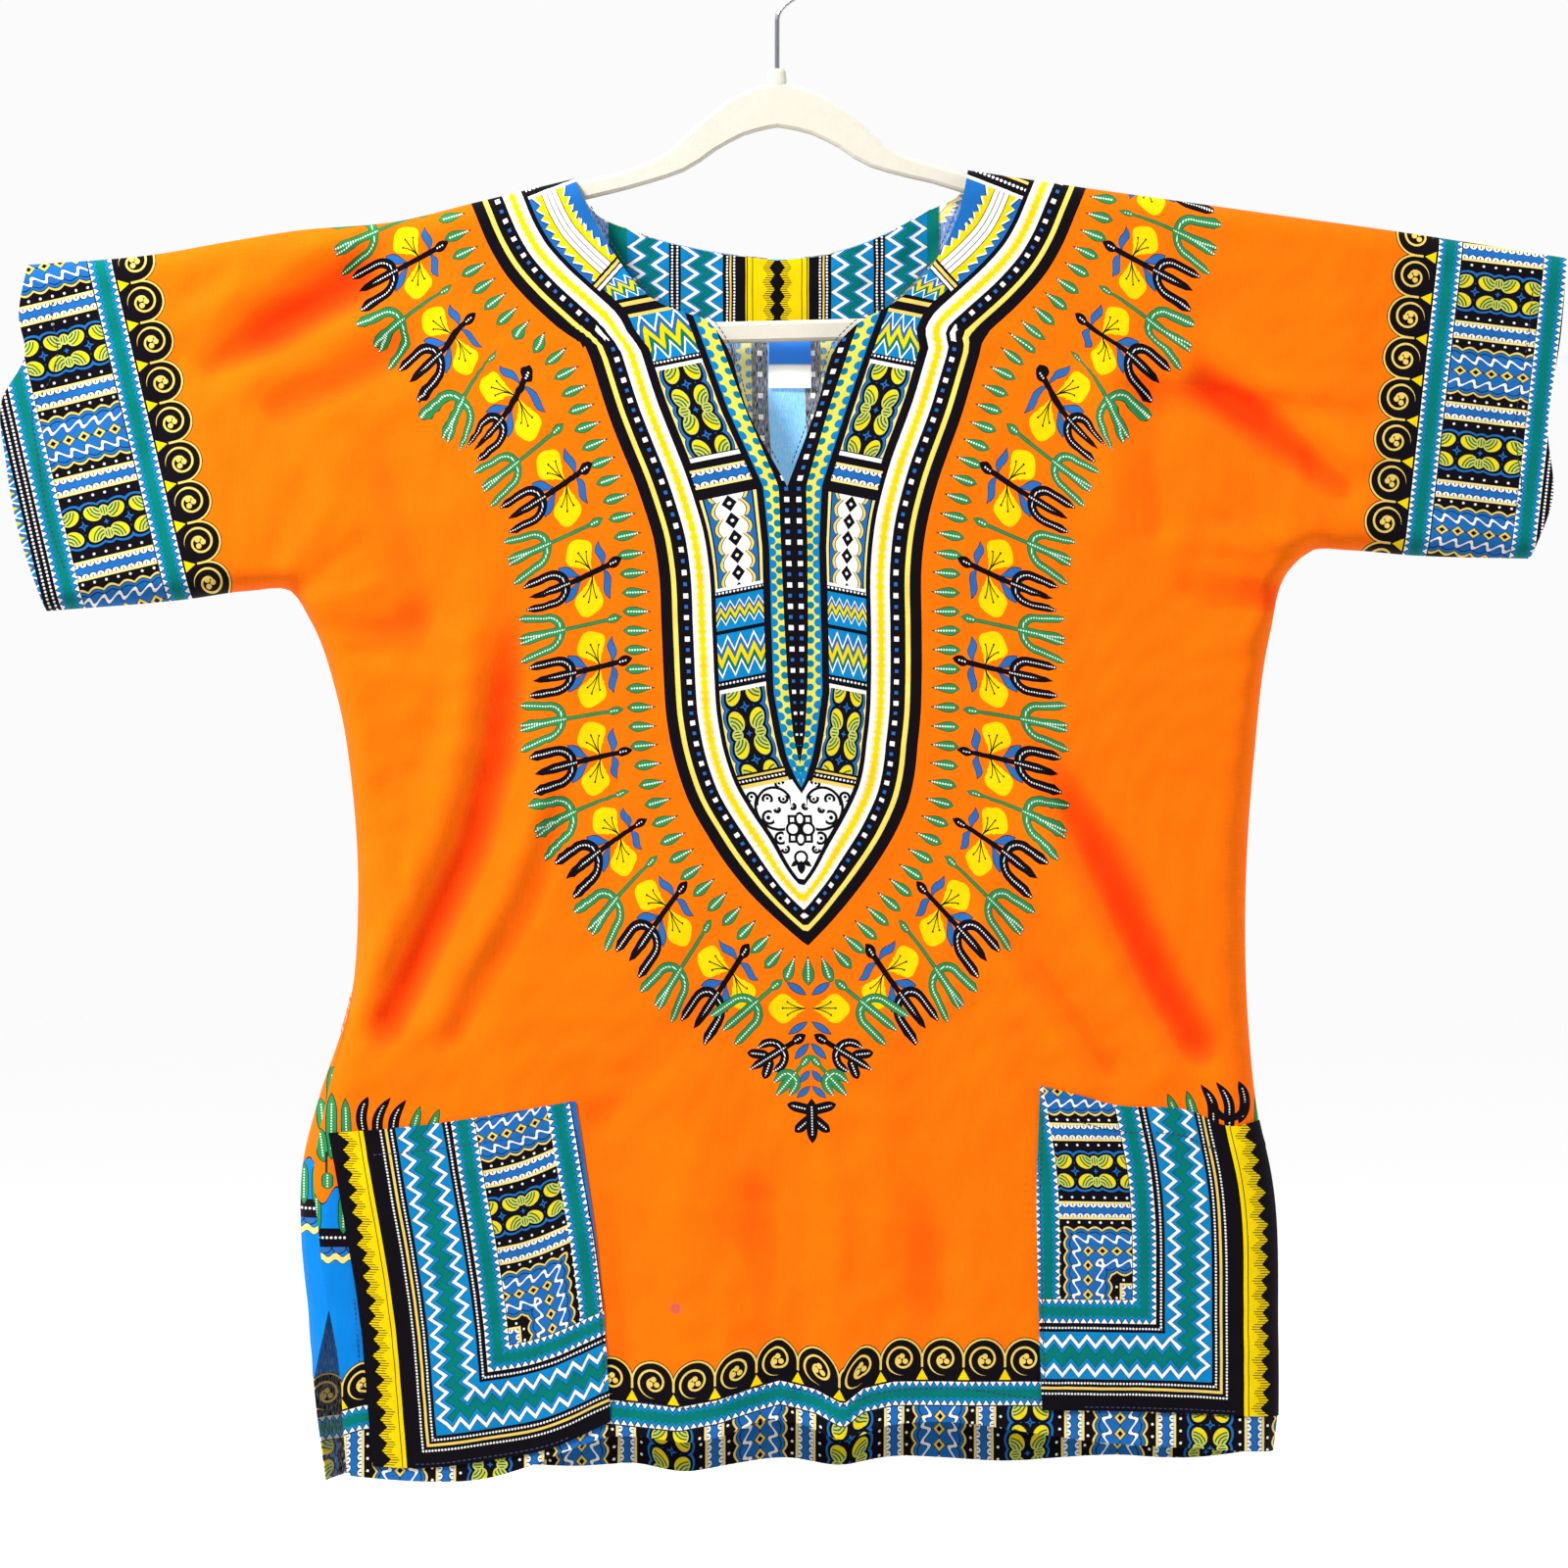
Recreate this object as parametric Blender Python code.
"""A dashiki shirt on a slim clothes hanger, as closed solids.

Run with: blender --background --python part.py

The origin is the inner top of the hook, where a rod carries the hanger. +X is to the right as
the shirt is seen, the front faces -Y and +Z is up. All sizes are in metres; the tables are in
millimetres, in the same frame, and MM turns them into metres.

The shirt is a front and a back panel, each cut in one with its two half-sleeves. A panel is a
T-shaped grid of points. Each point has a place (x, z) inside the shirt's outline and a depth
that grows from the seam inwards like a quarter of an ellipse, so that the two panels close
into a flat tube over the body and over both sleeves.
"""
import math

import bpy
import numpy as np

MM = 0.001

# ------------------------------------------------------------------ driving sizes
WALL = 0.0015            # the cloth
SEAM_GAP = 0.0003        # between pieces that are sewn together
FACING_WALL = 0.001
LABEL_WALL = 0.0008
POCKET_LIFT = 0.0009     # from the panel's face to the pocket's inner face

SHOULDER_HALF_DEPTH = 0.011   # half the shirt's thickness just under the shoulder seam
CHEST_SWELL = 0.008           # added further down the chest
HEM_SWELL = 0.004             # added again towards the hem
SLEEVE_SLACK = 0.003          # taken off over the sleeves
SEAM_ROUND = 0.014            # how far in from a seam the cloth is still turning
SIDE_ROUND = 0.020            # the same at the body's sides
VENT_TOP_Z = -0.805           # the side seams end here
VENT_OPENING = 0.004          # each layer's spread at the hem, beside the vent

HOOK_INNER_RADIUS = 0.016
HOOK_WIRE_RADIUS = 0.0015
HANGER_ARM_DEPTH = 0.0116
HANGER_BAR_DEPTH = 0.0128
HANGER_SEAT = 0.0021          # from the shirt's outline down to the hanger's upper edge
HANGER_TILT = 0.0245          # rise of the right arm for each metre along it
HANGER_REACH = 0.222          # from the middle to the tip of an arm
BAR_Z = -0.2275
BOSS_TOP_Z = -0.072

# ------------------------------------------------------------------ outline, columns x, z in mm
OVERARM_LEFT = ((-443, -188), (-369, -182), (-323, -174), (-286, -168),
                (-223, -162), (-178, -151), (-120, -137))
OVERARM_RIGHT = ((113, -132), (179, -142), (236, -150), (300, -159), (365, -168), (467, -184))
CUFF_LEFT = ((-443, -188), (-448, -220), (-444, -241), (-458, -269), (-455, -307),
             (-448, -345), (-432, -393))
CUFF_RIGHT = ((467, -184), (463, -229), (455, -289), (458, -324), (445, -362))
UNDER_AND_SIDE_LEFT = ((-432, -393), (-349, -386), (-312, -381), (-288, -381), (-277, -397),
                       (-260, -445), (-251, -502), (-248, -561), (-253, -626), (-270, -677),
                       (-281, -722), (-282, -760), (-277, -816), (-273, -865), (-267, -911))
UNDER_AND_SIDE_RIGHT = ((445, -362), (375, -360), (338, -357), (317, -357), (302, -370),
                        (292, -405), (282, -482), (277, -581), (279, -640), (285, -694),
                        (292, -726), (296, -820), (296, -867), (293, -892))
ARMPIT_POINT = 3              # its place in the two tables above
NECK_FRONT_LEFT = ((-120, -137), (-110, -159), (-95, -184), (-75, -208), (-56, -217),
                   (-42, -221), (-31, -235), (-18, -274), (6, -320))
NECK_FRONT_RIGHT = ((6, -320), (23, -274), (37, -234), (47, -224), (71, -210), (95, -184),
                    (107, -159), (113, -132))
NECK_BACK_LEFT = ((-120, -137), (-108, -157), (-88, -166), (-71, -172), (-40, -179), (0, -184))
NECK_BACK_RIGHT = ((0, -184), (28, -181), (66, -168), (89, -155), (108, -146), (113, -132))
HEM_FRONT = ((-262, -901), (-238, -904), (-211, -906), (-170, -904), (-149, -898), (-121, -887),
             (-100, -880), (-77, -880), (-54, -883), (-31, -879), (-6, -870), (16, -873),
             (37, -881), (66, -873), (97, -871), (154, -878), (190, -883), (236, -886),
             (294, -889))
HEM_BACK = ((-268, -908), (-240, -902), (-198, -906), (-170, -901), (-117, -901), (-84, -899),
            (-54, -904), (-27, -900), (4, -896), (39, -900), (59, -896), (137, -898),
            (197, -894), (245, -896), (267, -894), (294, -890))
# how far the left side seam has rolled onto the front, columns z, roll of front, roll of back
LEFT_SEAM_ROLL = ((-600, 0, 0), (-640, 1.5, 1.5), (-680, 5.5, 5.5), (-722, 8, 8),
                  (-760, 12, 12), (-805, 14, 14), (-830, 17, 6), (-850, 18, 0), (-905, 15, 0))

# pockets: four edges each, columns x, z in mm
POCKET_LEFT_EDGES = {
    "top": ((-264, -701), (-216, -697), (-165, -690), (-119, -682)),
    "bottom": ((-238, -897), (-205, -898), (-173, -894), (-135, -887), (-98, -871)),
    "left": ((-264, -701), (-257, -742), (-251, -775), (-245, -816), (-241, -861), (-238, -897)),
    "right": ((-119, -682), (-111, -733), (-103, -799), (-98, -871)),
}
POCKET_RIGHT_EDGES = {
    "top": ((155, -673), (176, -678), (197, -684), (244, -688), (267, -697), (284, -694)),
    "bottom": ((156, -864), (224, -865), (269, -867), (295, -868)),
    "left": ((155, -673), (153, -723), (154, -804), (156, -864)),
    "right": ((284, -694), (291, -726), (295, -820), (295, -868)),
}
LABEL_BOX = (-5, 20, -222, -260)      # left, right, top, bottom in mm

# soft folds, columns x1, z1, x2, z2, rise, half width, all in mm; a trough has a negative rise
FRONT_FOLDS = (
    (-187, -520, -250, -660, -5.0, 19),
    (-165, -560, -225, -690, 3.0, 20),
    (-202, -449, -226, -500, -2.5, 12),
    (219, -266, 345, -281, -2.5, 12),
    (265, -215, 285, -330, -2.0, 18),
    (330, -215, 345, -320, 2.0, 20),
    (-228, -171, -298, -225, -2.5, 16),
    (-330, -240, -350, -345, 2.0, 20),
    (-268, -425, -215, -400, -2.5, 12),
    (298, -382, 250, -352, -2.5, 12),
    (-57, -720, -54, -890, 4.0, 17),
    (-8, -740, -8, -880, -4.0, 15),
    (34, -730, 37, -890, 4.5, 14),
    (85, -760, 90, -880, -3.0, 18),
    (205, -540, 225, -650, -2.0, 22),
    (120, -560, 135, -680, 2.0, 25),
)
BACK_FOLDS = (
    (-190, -500, -245, -640, -3.0, 24),
    (200, -470, 250, -600, -4.0, 22),
    (-60, -330, -75, -560, 2.5, 26),
    (70, -340, 85, -600, -2.5, 28),
    (0, -420, 5, -700, 2.0, 26),
    (-130, -640, -140, -890, 4.0, 22),
    (-75, -700, -72, -900, -4.0, 20),
    (-15, -680, -14, -900, 4.0, 19),
    (45, -700, 50, -900, -4.0, 19),
    (110, -660, 120, -900, 4.0, 22),
    (180, -700, 190, -900, -3.5, 22),
    (-200, -720, -205, -900, -3.0, 20),
    (-230, -180, -290, -235, -2.5, 16),
    (225, -175, 285, -240, -2.5, 16),
    (-340, -230, -355, -350, 2.0, 20),
    (345, -220, 355, -330, 2.0, 20),
    (-270, -425, -215, -400, -2.5, 12),
    (298, -385, 250, -352, -2.5, 12),
)

# half of the hanger's arch, columns distance from the middle, upper z, lower z in mm
HANGER_ARCH = ((0, -80, -107), (12, -82, -109), (24, -87, -113.5), (40, -98, -122.5),
               (50, -107, -130), (59, -115.5, -134), (71, -124, -137), (93, -131, -142.5))

# the turn at an arm's tip, columns x, z from the arm's end in mm
HANGER_TIP = ((0, 0), (7, -5), (10, -14), (9, -32), (3, -50), (-8, -61), (-24, -65))
# a quarter of the hanger's section, columns inset from its edge, y in mm
HANGER_SECTION = ((0.0, 0.8), (0.7, 2.1), (2.2, 3.0))
BOSS_FLATTENING = 0.52        # the boss is this much thinner from front to back

# ------------------------------------------------------------------ grid, in cells
SEAM_CELLS = 3                # round a seam, in steps of 30 degrees
SLEEVE_COLUMNS = 8
LEFT_SHOULDER_COLUMNS = 6
HALF_NECK_COLUMNS = 10
RIGHT_SHOULDER_COLUMNS = 7
UPPER_ROWS = 12
LOWER_ROWS = 15
ROWS_ABOVE_VENT = 12
CHEST_DIP = 0.070             # how far the row between the armpits dips in its middle
FACING_ROWS = 2
NO_SEAM = -1.0                # a point whose distance from the seam is measured, not given


# ------------------------------------------------------------------ small helpers
def smoothstep(t):
    """0 below t = 0, 1 above t = 1, and t * t * (3 - 2 t) between."""
    t = np.clip(t, 0.0, 1.0)
    return t * t * (3.0 - 2.0 * t)


class Curve:
    """A smooth curve through outline points: a cubic on each span, with slopes from neighbours."""

    def __init__(self, points_mm, step=0.003):
        knots = np.array(points_mm, float) * MM
        chord = np.concatenate(([0.0], np.cumsum(np.linalg.norm(np.diff(knots, axis=0), axis=1))))
        slopes = np.gradient(knots, chord, axis=0)
        self.knot_lengths = chord
        s = np.unique(np.concatenate((np.linspace(0.0, chord[-1], int(chord[-1] / step) + 2), chord)))
        span = np.clip(np.searchsorted(chord, s, side="right") - 1, 0, len(chord) - 2)
        width = (chord[span + 1] - chord[span])[:, None]
        t = (s - chord[span])[:, None] / width
        self.points = ((2 * t**3 - 3 * t**2 + 1) * knots[span]
                       + (t**3 - 2 * t**2 + t) * width * slopes[span]
                       + (3 * t**2 - 2 * t**3) * knots[span + 1]
                       + (t**3 - t**2) * width * slopes[span + 1])
        self.lengths = s

    def at(self, fraction, start=0.0, end=None):
        """Points at fractions of the stretch from length start to length end."""
        end = self.lengths[-1] if end is None else end
        s = start + np.asarray(fraction, float) * (end - start)
        return np.stack([np.interp(s, self.lengths, self.points[:, i]) for i in (0, 1)], axis=-1)

    def x_at(self, z):
        """x where a curve that runs steadily down has this z."""
        return np.interp(-np.asarray(z), -self.points[:, 1], self.points[:, 0])

    def z_at(self, x):
        """z where a curve that runs steadily to the right has this x."""
        return np.interp(x, self.points[:, 0], self.points[:, 1])

    def from_length(self, length):
        """The part of the curve past a length, as a new curve."""
        part = Curve.__new__(Curve)
        keep = self.lengths >= length - 1e-9
        part.points = self.points[keep]
        part.lengths = self.lengths[keep] - length
        part.knot_lengths = part.lengths[[0, -1]]
        return part


overarm_left = Curve(OVERARM_LEFT)
overarm_right = Curve(OVERARM_RIGHT)
cuff_left = Curve(CUFF_LEFT)
cuff_right = Curve(CUFF_RIGHT)
under_left = Curve(UNDER_AND_SIDE_LEFT)
under_right = Curve(UNDER_AND_SIDE_RIGHT)
armpit_left = under_left.knot_lengths[ARMPIT_POINT]
armpit_right = under_right.knot_lengths[ARMPIT_POINT]
side_left = under_left.from_length(armpit_left)
side_right = under_right.from_length(armpit_right)
SEAM_CURVES = (overarm_left, overarm_right, under_left, under_right)
roll_z, roll_front, roll_back = (np.array(LEFT_SEAM_ROLL) * MM).T


def shoulder_z(x):
    """Height of the shoulder line over x, straight across the neck."""
    line = np.concatenate((overarm_left.points, overarm_right.points))
    return np.interp(x, line[:, 0], line[:, 1])


def seam_distance(x, z):
    """Distance from (x, z) to the nearest seam in the outline, and the direction away from it."""
    best = np.full(x.shape, 9.0)
    away = np.zeros(x.shape + (2,))
    middle = np.array([0.015, -0.300])
    for curve in SEAM_CURVES:
        start = curve.points[:-1]
        run = np.diff(curve.points, axis=0)
        to_x = x[..., None] - start[:, 0]
        to_z = z[..., None] - start[:, 1]
        t = np.clip((to_x * run[:, 0] + to_z * run[:, 1]) / (run**2).sum(axis=1), 0.0, 1.0)
        off_x = to_x - t * run[:, 0]
        off_z = to_z - t * run[:, 1]
        distance = np.hypot(off_x, off_z)
        nearest = distance.argmin(axis=-1)
        value = np.take_along_axis(distance, nearest[..., None], axis=-1)[..., 0]
        offset = np.stack([np.take_along_axis(o, nearest[..., None], axis=-1)[..., 0]
                           for o in (off_x, off_z)], axis=-1)
        across = np.stack((-run[nearest][..., 1], run[nearest][..., 0]), axis=-1)
        across /= np.linalg.norm(across, axis=-1, keepdims=True)
        inwards = middle - start[nearest]
        across *= np.sign((across * inwards).sum(axis=-1, keepdims=True))
        close = (value < 1e-4)[..., None]
        direction = np.where(close, across, offset / np.maximum(value, 1e-9)[..., None])
        better = value < best
        best = np.where(better, value, best)
        away = np.where(better[..., None], direction, away)
    return best, away


def rounding(z):
    """How far in from the seam the cloth is still turning, wider at the body's sides."""
    return SEAM_ROUND + (SIDE_ROUND - SEAM_ROUND) * smoothstep((-z - 0.42) / 0.12)


def half_depth(x, z, folds):
    """Half thickness of the shirt away from its seams, with the soft folds added."""
    below = shoulder_z(x) - z
    depth = SHOULDER_HALF_DEPTH + CHEST_SWELL * smoothstep(below / 0.20)
    depth = depth + HEM_SWELL * smoothstep((-z - 0.55) / 0.30)
    depth = depth - SLEEVE_SLACK * smoothstep((np.abs(x - 0.012) - 0.30) / 0.10)
    for x1, z1, x2, z2, rise, width in np.array(folds) * MM:
        run_x, run_z = x2 - x1, z2 - z1
        t = np.clip(((x - x1) * run_x + (z - z1) * run_z) / (run_x**2 + run_z**2), 0.0, 1.0)
        off = np.hypot(x - x1 - t * run_x, z - z1 - t * run_z)
        depth = depth + rise * np.exp(-((off / width) ** 2))
    return depth


def vent_spread(x, z, distance):
    """Extra depth of each layer beside a side vent, which grows from the vent's top down."""
    down = smoothstep((VENT_TOP_Z - z) / 0.09)
    beside = np.abs(x - 0.012) > 0.15
    return np.where(beside, VENT_OPENING * down * (1.0 - smoothstep(distance / 0.05)), 0.0)


def cloth(x, z, layer, folds, distance=None):
    """Points and outward normals of the shirt's outer face at places (x, z) of its outline.

    layer is -1 on the front face and +1 on the back face. The depth is
    layer * (half gap + half_depth * sqrt(1 - (1 - distance / rounding) ** 2)).
    """
    measured, away = seam_distance(x, z)
    if distance is not None:
        measured = np.where(distance >= 0.0, distance, measured)
    reach = rounding(z)
    t = np.clip(measured / reach, 0.0, 1.0)
    swell = np.sqrt(np.maximum(1.0 - (1.0 - t) ** 2, 0.0))
    slope = (1.0 - t) / np.maximum(swell, 1e-6) / reach
    depth = half_depth(x, z, folds)
    step = 1e-4
    depth_x = (half_depth(x + step, z, folds) - half_depth(x - step, z, folds)) / (2 * step)
    depth_z = (half_depth(x, z + step, folds) - half_depth(x, z - step, folds)) / (2 * step)
    y = layer * (0.5 * SEAM_GAP * (1.0 - swell) + depth * swell + vent_spread(x, z, measured))
    normal = np.stack((-(depth * slope * away[..., 0] + swell * depth_x),
                       layer * np.ones_like(x),
                       -(depth * slope * away[..., 1] + swell * depth_z)), axis=-1)
    normal /= np.linalg.norm(normal, axis=-1, keepdims=True)
    return np.stack((x, y, z), axis=-1), normal


# ------------------------------------------------------------------ solids from grids
def solid(name, outer, inner, cells, colour, roughness):
    """One closed wall between two grids of points, over the cells that are marked."""
    rows, columns = outer.shape[:2]
    index = np.arange(rows * columns).reshape(rows, columns)
    a, b = index[:-1, :-1][cells], index[1:, :-1][cells]
    c, d = index[1:, 1:][cells], index[:-1, 1:][cells]
    faces = np.concatenate((np.stack((a, b, c), 1), np.stack((a, c, d), 1)))
    directed = np.concatenate((faces[:, [0, 1]], faces[:, [1, 2]], faces[:, [2, 0]]))
    size = rows * columns
    code = directed[:, 0] * size + directed[:, 1]
    twin = directed[:, 1] * size + directed[:, 0]
    rim = directed[~np.isin(code, twin)]
    walls = np.concatenate((
        np.stack((rim[:, 1], rim[:, 0], rim[:, 0] + size), 1),
        np.stack((rim[:, 1], rim[:, 0] + size, rim[:, 1] + size), 1)))
    faces = np.concatenate((faces, faces[:, ::-1] + size, walls))
    points = np.concatenate((outer.reshape(-1, 3), inner.reshape(-1, 3)))
    used, faces = np.unique(faces, return_inverse=True)
    return mesh_object(name, points[used], faces.reshape(-1, 3), colour, roughness)


def mesh_object(name, points, faces, colour, roughness, metallic=0.0):
    """An object of that name, with its own plain material."""
    mesh = bpy.data.meshes.new(name)
    mesh.from_pydata([tuple(p) for p in points], [], [tuple(f) for f in faces.tolist()])
    mesh.shade_smooth()
    mesh.set_sharp_from_angle(angle=math.radians(50))
    made = bpy.data.objects.new(name, mesh)
    bpy.context.scene.collection.objects.link(made)
    made.data.materials.append(plain_material(name, colour, roughness, metallic))
    return made


def plain_material(name, colour, roughness, metallic=0.0):
    """A Principled BSDF of one colour."""
    material = bpy.data.materials.new(name)
    material.use_nodes = True
    shader = material.node_tree.nodes["Principled BSDF"]
    shader.inputs["Base Color"].default_value = (*colour, 1.0)
    shader.inputs["Roughness"].default_value = roughness
    shader.inputs["Metallic"].default_value = metallic
    return material


# ------------------------------------------------------------------ the panels' grids
SEAM_ANGLES = np.radians(np.linspace(0.0, 90.0, SEAM_CELLS + 1))
SEAM_STOPS = SEAM_ROUND * (1.0 - np.cos(SEAM_ANGLES))


def rows_between_seams(length, rows):
    """Stops from 0 to 1 down a sleeve, close together at the seam at either end."""
    ends = SEAM_STOPS[:-1] / length
    middle = np.linspace(SEAM_STOPS[-1] / length, 1.0 - SEAM_STOPS[-1] / length, rows - 2 * SEAM_CELLS + 1)
    return np.concatenate((ends, middle, 1.0 - ends[::-1]))


def rows_under_seam(length, rows):
    """Stops from 0 to 1, close together at the seam at the top only."""
    return np.concatenate((SEAM_STOPS[:-1] / length,
                           np.linspace(SEAM_STOPS[-1] / length, 1.0, rows - SEAM_CELLS + 1)))


def sleeve_places(overarm, cuff, underarm_bottom, junction_top, junction_bottom, mirrored):
    """(x, z) over a sleeve, from its cuff to the body: straight columns, bent towards the cuff's
    curve as they near it."""
    along = np.linspace(0.0, 1.0, SLEEVE_COLUMNS + 1)
    top_x = cuff.points[0, 0] + along * (junction_top[0] - cuff.points[0, 0])
    top = np.stack((top_x, overarm.z_at(top_x)), axis=-1)
    bottom = underarm_bottom(along)
    places = []
    for i, u in enumerate(along):
        stops = rows_between_seams(np.linalg.norm(top[i] - bottom[i]), UPPER_ROWS)[:, None]
        straight = top[i] + (bottom[i] - top[i]) * stops
        cuff_bow = cuff.at(stops[:, 0]) - (top[0] + (bottom[0] - top[0]) * stops)
        places.append(straight + (1.0 - u) ** 2 * cuff_bow)
    grid = np.stack(places, axis=1)
    return grid[:, ::-1] if mirrored else grid


def shoulder_stops(start_x, end_x, columns):
    """x stops over a shoulder, from the armhole line to the neck point."""
    side = np.sign(end_x - start_x)
    near = start_x + side * SEAM_STOPS[:-1]
    return np.concatenate((near, np.linspace(start_x + side * SEAM_STOPS[-1], end_x, columns + 1)))


def neck_stops(length):
    """Stops from 0 to 1 along half a neckline, close together where it leaves the shoulder seam."""
    rest = np.linspace(SEAM_STOPS[-1] / length, 1.0, HALF_NECK_COLUMNS - SEAM_CELLS + 1)
    return np.concatenate((SEAM_STOPS[:-1] / length, rest))


def panel(layer):
    """Places, layers and given seam distances of one panel's whole grid, NaN off the T shape.

    Upper rows run from the shoulder or neckline down to the row between the armpits, lower
    rows from there to the hem. Columns run from the left cuff to the right one.
    """
    front = layer < 0
    neck = (NECK_FRONT_LEFT, NECK_FRONT_RIGHT) if front else (NECK_BACK_LEFT, NECK_BACK_RIGHT)
    neck_left, neck_right = Curve(neck[0]), Curve(neck[1])
    hem = Curve(HEM_FRONT if front else HEM_BACK)
    left_stops, right_stops = (neck_stops(curve.lengths[-1]) for curve in (neck_left, neck_right))

    # top ends of the body's columns
    pit_left = under_left.at(1.0, end=armpit_left)
    pit_right = under_right.at(1.0, end=armpit_right)
    left_x = shoulder_stops(pit_left[0], neck_left.points[0, 0], LEFT_SHOULDER_COLUMNS)
    right_x = shoulder_stops(pit_right[0], neck_right.points[-1, 0], RIGHT_SHOULDER_COLUMNS)[::-1]
    tops = np.concatenate((
        np.stack((left_x, overarm_left.z_at(left_x)), axis=-1),
        neck_left.at(left_stops[1:]),
        neck_right.at(1.0 - right_stops[::-1])[1:],
        np.stack((right_x, overarm_right.z_at(right_x)), axis=-1)[1:]))
    columns = len(tops) - 1
    interior = columns - 2 * SEAM_CELLS

    # every row of the lower body, the first of them between the armpits
    z_left = np.concatenate((
        np.linspace(pit_left[1], VENT_TOP_Z, ROWS_ABOVE_VENT + 1),
        np.linspace(VENT_TOP_Z, hem.points[0, 1], LOWER_ROWS - ROWS_ABOVE_VENT + 1)[1:]))
    z_right = np.concatenate((
        np.linspace(pit_right[1], VENT_TOP_Z, ROWS_ABOVE_VENT + 1),
        np.linspace(VENT_TOP_Z, hem.points[-1, 1], LOWER_ROWS - ROWS_ABOVE_VENT + 1)[1:]))
    down = np.linspace(0.0, 1.0, LOWER_ROWS + 1)
    lower = np.zeros((LOWER_ROWS + 1, columns + 1, 2))
    lower_layer = np.full((LOWER_ROWS + 1, columns + 1), float(layer))
    lower_distance = np.full((LOWER_ROWS + 1, columns + 1), NO_SEAM)
    for r in range(LOWER_ROWS + 1):
        left, right = side_left.x_at(z_left[r]), side_right.x_at(z_right[r])
        reach_l, reach_r = rounding(z_left[r]), rounding(z_right[r])
        roll = np.interp(-z_left[r], -roll_z, roll_front if front else roll_back)
        seam_angle = math.acos(1.0 - roll / reach_l)
        body_depth = SHOULDER_HALF_DEPTH + CHEST_SWELL
        half_gap = 0.5 * SEAM_GAP / math.hypot(reach_l * math.sin(seam_angle),
                                               body_depth * math.cos(seam_angle))
        start = -seam_angle + layer * half_gap if roll > 0.0 else 0.0
        angles = np.linspace(start, layer * math.pi / 2, SEAM_CELLS + 1)
        left_in = reach_l * (1.0 - np.cos(angles))
        right_in = reach_r * (1.0 - np.cos(SEAM_ANGLES))[::-1]
        x = np.concatenate((left + left_in,
                            np.linspace(left + reach_l, right - reach_r, interior + 1)[1:-1],
                            right - right_in))
        u = (x - left) / (right - left)
        line = z_left[r] + (z_right[r] - z_left[r]) * u
        dip = -CHEST_DIP * np.sin(math.pi * u) ** 2
        hem_line = hem.points[0, 1] + (hem.points[-1, 1] - hem.points[0, 1]) * u
        wave = hem.z_at(x) - hem_line
        z = line + (1.0 - down[r]) * dip + down[r] ** 2 * wave
        lower[r] = np.stack((x, z), axis=-1)
        if roll > 0.0:
            lower_layer[r, : SEAM_CELLS + 1] = np.where(angles < 0.0, -1.0, 1.0)
        lower_distance[r, : SEAM_CELLS + 1] = left_in
        lower_distance[r, -SEAM_CELLS - 1:] = right_in

    # upper body: straight columns from the tops to the row between the armpits
    seam_top = seam_distance(tops[:, 0], tops[:, 1])[0]
    upper = np.zeros((UPPER_ROWS + 1, columns + 1, 2))
    for k in range(columns + 1):
        run = lower[0, k] - tops[k]
        length = np.linalg.norm(run)
        to_armpit = min(abs(lower[0, k, 0] - pit_left[0]), abs(lower[0, k, 0] - pit_right[0]))
        even = smoothstep(seam_top[k] / 0.030)
        stops = (1.0 - even) * rows_under_seam(length, UPPER_ROWS)
        stops = stops + even * np.linspace(0.0, 1.0, UPPER_ROWS + 1)
        free = smoothstep(to_armpit / 0.090)
        stops = (1.0 - free) * rows_between_seams(length, UPPER_ROWS) + free * stops
        upper[:, k] = tops[k] + run * stops[:, None]
    upper_distance = np.full((UPPER_ROWS + 1, columns + 1), NO_SEAM)
    neck_from, neck_to = neck_left.points[0, 0], neck_right.points[-1, 0]
    over_shoulder = (tops[:, 0] <= neck_from + 1e-9) | (tops[:, 0] >= neck_to - 1e-9)
    upper_distance[0, over_shoulder] = 0.0
    upper_distance[-1, [0, -1]] = 0.0

    left = sleeve_places(overarm_left, cuff_left, lambda u: under_left.at(u, end=armpit_left),
                         tops[0], pit_left, False)
    right = sleeve_places(overarm_right, cuff_right, lambda u: under_right.at(u, end=armpit_right),
                          tops[-1], pit_right, True)
    sleeve_distance = np.full((UPPER_ROWS + 1, SLEEVE_COLUMNS), NO_SEAM)
    sleeve_distance[[0, -1], :] = 0.0

    places = np.full((UPPER_ROWS + LOWER_ROWS + 1, columns + 1 + 2 * SLEEVE_COLUMNS, 2), np.nan)
    layers = np.full(places.shape[:2], float(layer))
    distances = np.full(places.shape[:2], NO_SEAM)
    body = slice(SLEEVE_COLUMNS, SLEEVE_COLUMNS + columns + 1)
    places[: UPPER_ROWS + 1, body] = upper
    places[UPPER_ROWS:, body] = lower
    places[: UPPER_ROWS + 1, :SLEEVE_COLUMNS] = left[:, :-1]
    places[: UPPER_ROWS + 1, SLEEVE_COLUMNS + columns + 1:] = right[:, 1:]
    distances[: UPPER_ROWS + 1, body] = upper_distance
    distances[UPPER_ROWS + 1:, body] = lower_distance[1:]
    distances[: UPPER_ROWS + 1, :SLEEVE_COLUMNS] = sleeve_distance
    distances[: UPPER_ROWS + 1, SLEEVE_COLUMNS + columns + 1:] = sleeve_distance
    layers[UPPER_ROWS:, body] = lower_layer
    return places, layers, distances


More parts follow.
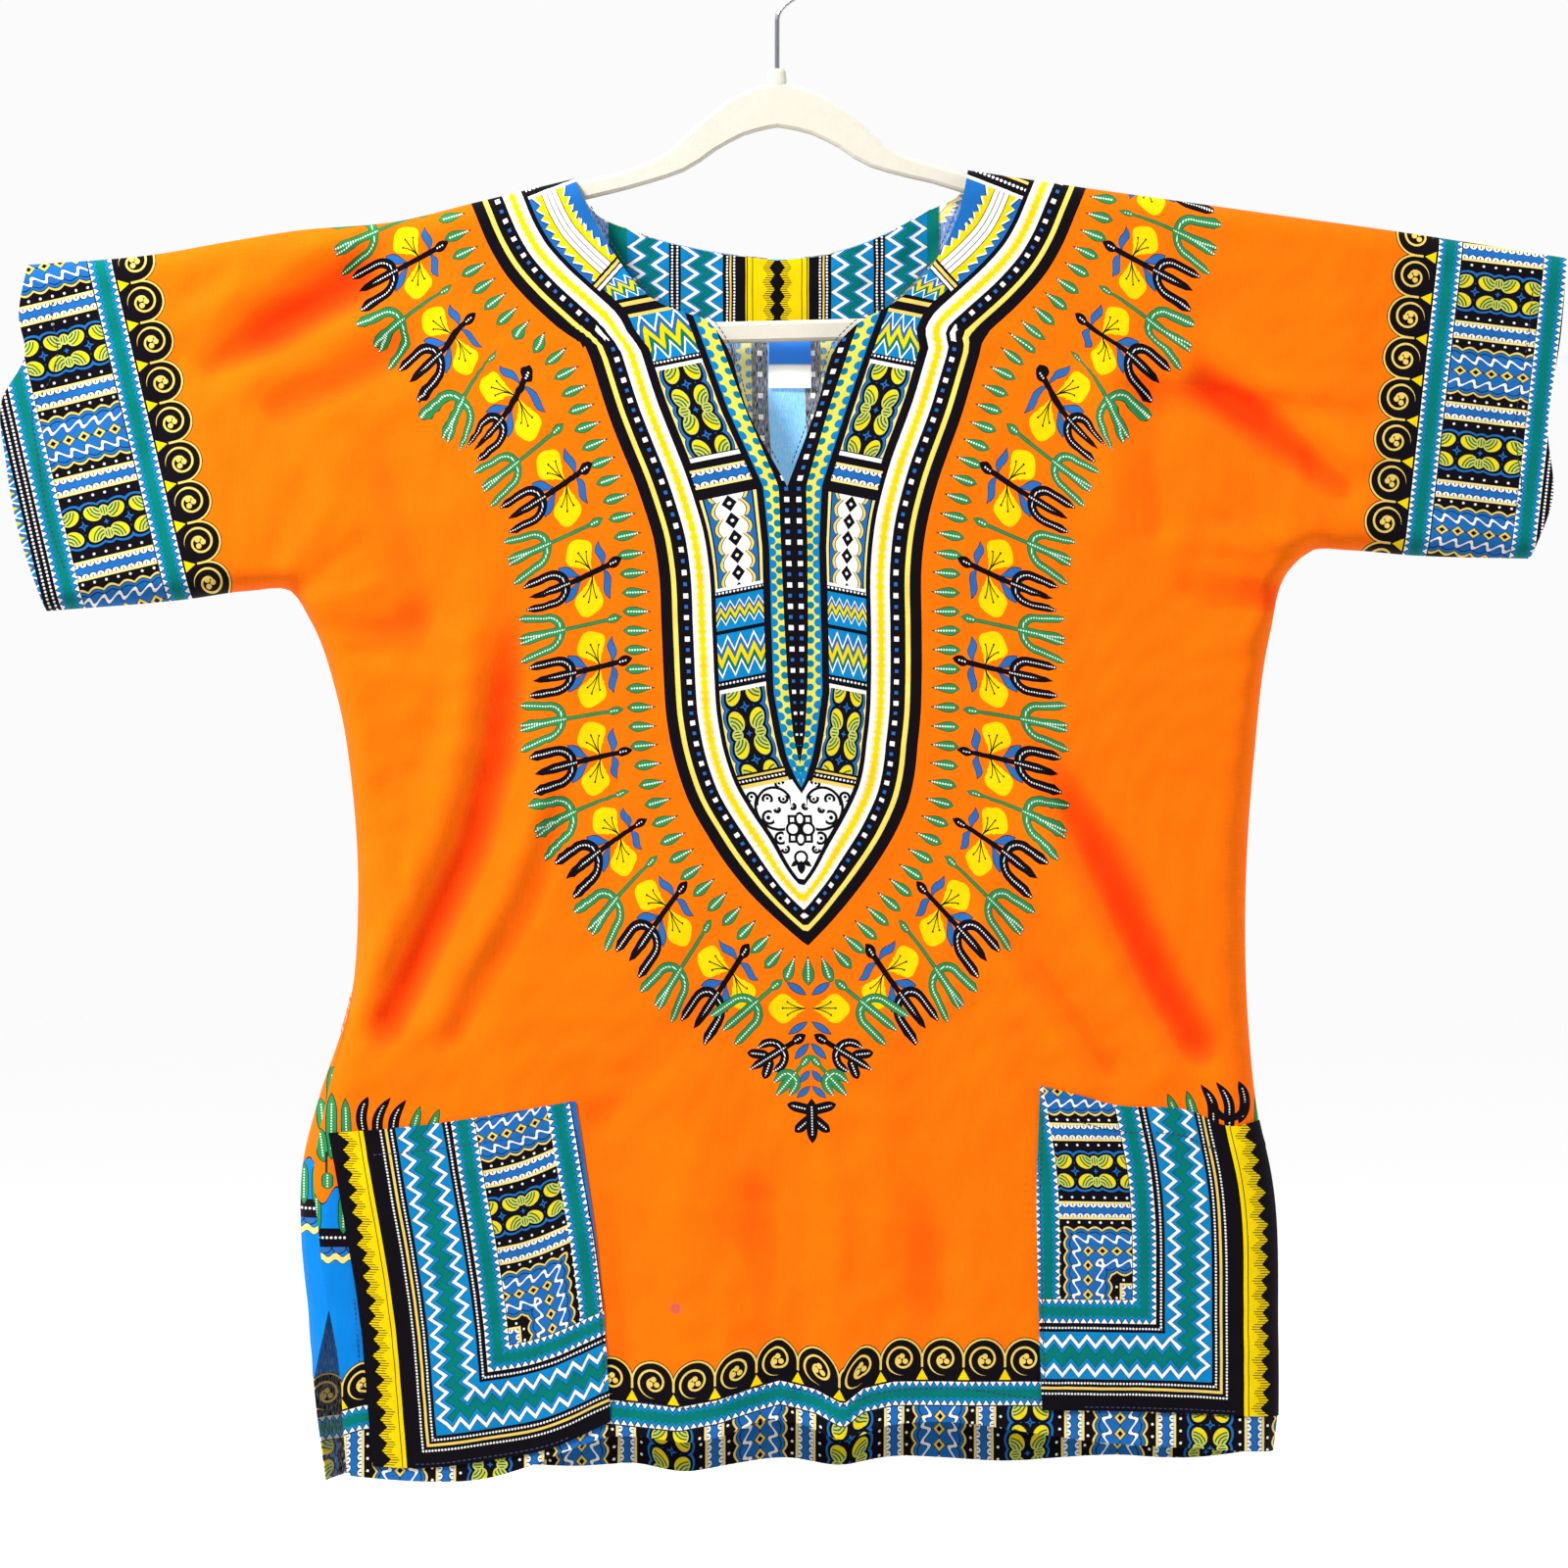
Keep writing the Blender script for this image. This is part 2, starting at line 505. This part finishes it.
def panel_surface(layer, folds):
    """Outer points, normals and marked cells of a panel."""
    places, layers, distances = panel(layer)
    there = ~np.isnan(places[..., 0])
    points = np.zeros(places.shape[:2] + (3,))
    normals = np.zeros_like(points)
    wrapped = layers[there] != layer
    p, n = cloth(places[there][:, 0], places[there][:, 1], layers[there], folds, distances[there])
    if wrapped.any():
        other = cloth(places[there][:, 0], places[there][:, 1], layers[there], FRONT_FOLDS, distances[there])
        p[wrapped], n[wrapped] = other[0][wrapped], other[1][wrapped]
    points[there], normals[there] = p, n
    cells = there[:-1, :-1] & there[1:, :-1] & there[:-1, 1:] & there[1:, 1:]
    return points, normals, cells


def facing_out(grid, layer):
    """Grids run down and to the right, which faces the front; the back's are turned round."""
    return grid if layer < 0 else grid[:, ::-1]


# ------------------------------------------------------------------ the pieces
ORANGE = (1.0, 0.22, 0.005)
BLUE = (0.02, 0.22, 0.70)
TEAL = (0.0, 0.25, 0.20)
VELVET_CREAM = (0.74, 0.70, 0.63)
STEEL = (0.72, 0.70, 0.66)
WHITE = (0.85, 0.87, 0.90)


def build_front():
    """The front, cut in one with its half-sleeves, with the scoop and the V of the neck."""
    points, normals, cells = panel_surface(-1, FRONT_FOLDS)
    solid("front_panel", points, points - WALL * normals, cells, ORANGE, 0.85)


def build_back():
    """The back, and the printed facing that lies inside its neck."""
    points, normals, cells = panel_surface(1, BACK_FOLDS)
    outer, out, marked = (facing_out(g, 1) for g in (points, normals, cells))
    solid("back_panel", outer, outer - WALL * out, marked, ORANGE, 0.85)

    first = SLEEVE_COLUMNS + SEAM_CELLS + LEFT_SHOULDER_COLUMNS + 2
    last = first + 2 * HALF_NECK_COLUMNS - 4
    patch = (slice(0, FACING_ROWS + 1), slice(first, last + 1))
    near = points[patch] - (WALL + SEAM_GAP) * normals[patch]
    far = near - FACING_WALL * normals[patch]
    marked = np.ones((FACING_ROWS, last - first), bool)
    solid("back_neck_facing", facing_out(near, 1), facing_out(far, 1), marked, TEAL, 0.85)


def build_label():
    """A small woven label inside the back neck, over the facing's lower edge."""
    left, right, top, bottom = (v * MM for v in LABEL_BOX)
    x, z = np.meshgrid(np.linspace(left, right, 3), np.linspace(top, bottom, 4))
    points, normals = cloth(x, z, np.ones_like(x), BACK_FOLDS)
    near = points - (WALL + FACING_WALL + 2 * SEAM_GAP) * normals
    far = near - LABEL_WALL * normals
    marked = np.ones((3, 2), bool)
    solid("neck_label", facing_out(near, 1), facing_out(far, 1), marked, WHITE, 0.6)


def build_pocket(name, edges, columns, rows, column_stops):
    """A patch pocket on the front, blended between its four edges and lifted off the panel."""
    curves = {side: Curve(points) for side, points in edges.items()}
    down = np.linspace(0.0, 1.0, rows + 1)
    left, right = curves["left"].at(down), curves["right"].at(down)
    top, bottom = curves["top"].at(column_stops), curves["bottom"].at(column_stops)
    u, v = column_stops[None, :, None], down[:, None, None]
    ruled = (1 - u) * left[:, None] + u * right[:, None] + (1 - v) * top[None] + v * bottom[None]
    corners = ((1 - u) * (1 - v) * top[0] + u * (1 - v) * top[-1]
               + (1 - u) * v * bottom[0] + u * v * bottom[-1])
    places = ruled - corners
    x, z = places[..., 0], places[..., 1]
    points, normals = cloth(x, z, np.full_like(x, -1.0), FRONT_FOLDS)
    inner = points + POCKET_LIFT * normals
    outer = inner + WALL * normals
    solid(name, outer, inner, np.ones((rows, columns), bool), BLUE, 0.85)


def build_pockets():
    """Both pockets; the right one's columns come closer together where it turns into its seam."""
    near_side = np.array([0.0, 0.0035, 0.008]) / 0.145
    stops = np.concatenate((near_side, np.linspace(0.11, 1.0, 7)))
    build_pocket("pocket_left", POCKET_LEFT_EDGES, 9, 8, stops)
    width = 0.137
    near_seam = 1.0 - np.array([0.019, 0.0085, 0.003, 0.0]) / width
    stops = np.concatenate((np.linspace(0.0, near_seam[0], 7), near_seam[1:]))
    build_pocket("pocket_right", POCKET_RIGHT_EDGES, 9, 8, stops)


def arm_line(side):
    """Places of the centre line of one arm, from the arch to near its tip, and its half depths.

    The arch comes from its table and the arm follows the shirt's shoulder, HANGER_SEAT below.
    A half depth is measured square to the arm, so it is the upright one times the slope's cosine.
    """
    arch = np.array(HANGER_ARCH) * MM
    neck_x = -overarm_left.points[-1, 0] if side < 0 else overarm_right.points[0, 0]
    reach = np.linspace(neck_x - 0.002, HANGER_REACH - 0.008, 7)
    seat = shoulder_z(side * np.maximum(reach, neck_x)) - HANGER_SEAT
    tilt = HANGER_TILT * side * arch[:, 0]
    known = np.concatenate((arch[:, 0], reach))
    stops = np.concatenate((np.linspace(0.0, arch[-1, 0], 12), reach))
    top = np.interp(stops, known, np.concatenate((arch[:, 1] + tilt, seat)))
    under = np.interp(stops, known, np.concatenate((arch[:, 2] + tilt, seat - HANGER_ARM_DEPTH)))
    line = np.stack((side * stops, 0.5 * (top + under)), axis=1)
    slope = np.gradient(line[:, 1], stops)
    return line, 0.5 * (top - under) / np.hypot(1.0, slope)


def tip_line(arm_end, side):
    """The turn from an arm's end down and back to the trouser bar, as places of its centre line."""
    shape = Curve(HANGER_TIP)
    bar_z = BAR_Z + HANGER_TILT * (arm_end[0] + side * shape.points[-1, 0])
    drop = (bar_z - arm_end[1]) / shape.points[-1, 1]
    return arm_end + shape.at(np.linspace(0.12, 1.0, 10)) * np.array([side, drop])


def build_hanger():
    """The hanger's body: one bar bent round into arch, arms, tips and trouser bar."""
    right, right_half = arm_line(1.0)
    left, left_half = arm_line(-1.0)
    tip_right = tip_line(right[-1], 1.0)
    tip_left = tip_line(left[-1], -1.0)[::-1]
    bar_x = np.linspace(tip_right[-1, 0], tip_left[0, 0], 15)[1:-1]
    bar = np.stack((bar_x, BAR_Z + HANGER_TILT * bar_x), axis=1)
    path = np.concatenate((right, tip_right, bar, tip_left, left[:0:-1]))
    half = np.concatenate((
        right_half, np.full(len(tip_right), 0.5 * HANGER_ARM_DEPTH),
        np.full(len(bar), 0.5 * HANGER_BAR_DEPTH),
        np.full(len(tip_left), 0.5 * HANGER_ARM_DEPTH), left_half[:0:-1]))
    tangent = np.roll(path, -1, axis=0) - np.roll(path, 1, axis=0)
    tangent /= np.linalg.norm(tangent, axis=1, keepdims=True)
    outwards = np.stack((-tangent[:, 1], tangent[:, 0]), axis=1)

    quarter = np.array(HANGER_SECTION) * MM                # inset from the edge, and y
    outer = np.column_stack((np.ones(len(quarter)), quarter))
    behind = np.concatenate((outer, (outer * (-1, 1, 1))[::-1]))
    around = np.concatenate((behind, (behind * (1, 1, -1))[::-1]))
    rings = []
    for edge, inset, y in around:
        place = path + outwards * (edge * (half - inset))[:, None]
        rings.append(np.stack((place[:, 0], np.full(len(path), y), place[:, 1]), axis=1))
    points = np.stack(rings, axis=1)
    index = np.arange(points.shape[0] * points.shape[1]).reshape(points.shape[:2])
    a, b = index, np.roll(index, -1, axis=0)
    c, d = np.roll(b, -1, axis=1), np.roll(index, -1, axis=1)
    faces = np.concatenate((np.stack((a, d, c), -1).reshape(-1, 3), np.stack((a, c, b), -1).reshape(-1, 3)))
    body = mesh_object("hanger_body", points.reshape(-1, 3), faces, VELVET_CREAM, 0.9)
    join = body.modifiers.new("boss", "BOOLEAN")
    join.operation = "UNION"
    join.solver = "EXACT"
    join.object = build_boss()


def build_boss():
    """The round boss on the arch, which the hook turns in; it is joined to the hanger's body."""
    sides = 16
    stations = ((-0.092, 0.0052), (-0.0795, 0.0056), (-0.0735, 0.0050), (BOSS_TOP_Z, 0.0040))
    angle = np.linspace(0.0, 2 * math.pi, sides, endpoint=False)
    rings = [np.stack((r * np.cos(angle), BOSS_FLATTENING * r * np.sin(angle), np.full(sides, z)), axis=1)
             for z, r in stations]
    points = np.concatenate(rings + [np.array([[0, 0, stations[0][0]], [0, 0, stations[-1][0]]])])
    faces = []
    for ring in range(len(stations) - 1):
        for i in range(sides):
            j = (i + 1) % sides
            low, high = ring * sides, (ring + 1) * sides
            faces.append((low + i, low + j, high + j))
            faces.append((low + i, high + j, high + i))
    last = (len(stations) - 1) * sides
    for i in range(sides):
        j = (i + 1) % sides
        faces.append((len(points) - 2, j, i))
        faces.append((len(points) - 1, last + i, last + j))
    boss = mesh_object("boss_tool", points, np.array(faces), VELVET_CREAM, 0.9)
    boss.hide_render = True
    boss.display_type = "WIRE"
    return boss


def build_hook():
    """The wire hook: a straight shank, a bend to the right and three quarters of a circle."""
    radius = HOOK_INNER_RADIUS + HOOK_WIRE_RADIUS
    centre_z = -HOOK_INNER_RADIUS
    shank_bottom, shank_top = BOSS_TOP_Z + SEAM_GAP, -0.043
    start, end = math.radians(-55), math.radians(205)
    join = np.array([radius * math.cos(start), centre_z + radius * math.sin(start)])
    along = np.array([-math.sin(start), math.cos(start)])
    bend_from = np.array([0.0, shank_top])
    handles = (bend_from, bend_from + (0.0, 0.006), join - 0.006 * along, join)
    shank = [(0.0, z) for z in np.linspace(shank_bottom, shank_top, 4)[:-1]]
    bend = []
    for t in np.linspace(0.0, 1.0, 6)[:-1]:
        weights = ((1 - t) ** 3, 3 * t * (1 - t) ** 2, 3 * t**2 * (1 - t), t**3)
        bend.append(sum(w * h for w, h in zip(weights, handles)))
    arc = [(radius * math.cos(a), centre_z + radius * math.sin(a)) for a in np.linspace(start, end, 22)]
    route = [tuple(p) for p in shank + bend + arc]
    curve = bpy.data.curves.new("hanger_hook", "CURVE")
    curve.dimensions = "3D"
    curve.bevel_depth = HOOK_WIRE_RADIUS
    curve.bevel_resolution = 2
    curve.use_fill_caps = True
    spline = curve.splines.new("POLY")
    spline.points.add(len(route) - 1)
    for point, (x, z) in zip(spline.points, route):
        point.co = (x, 0.0, z, 1.0)
    hook = bpy.data.objects.new("hanger_hook", curve)
    bpy.context.scene.collection.objects.link(hook)
    curve.materials.append(plain_material("hanger_hook", STEEL, 0.3, 1.0))


def main():
    """Clear the scene and build every piece."""
    for old in list(bpy.data.objects):
        bpy.data.objects.remove(old, do_unlink=True)
    build_front()
    build_back()
    build_label()
    build_pockets()
    build_hanger()
    build_hook()


main()
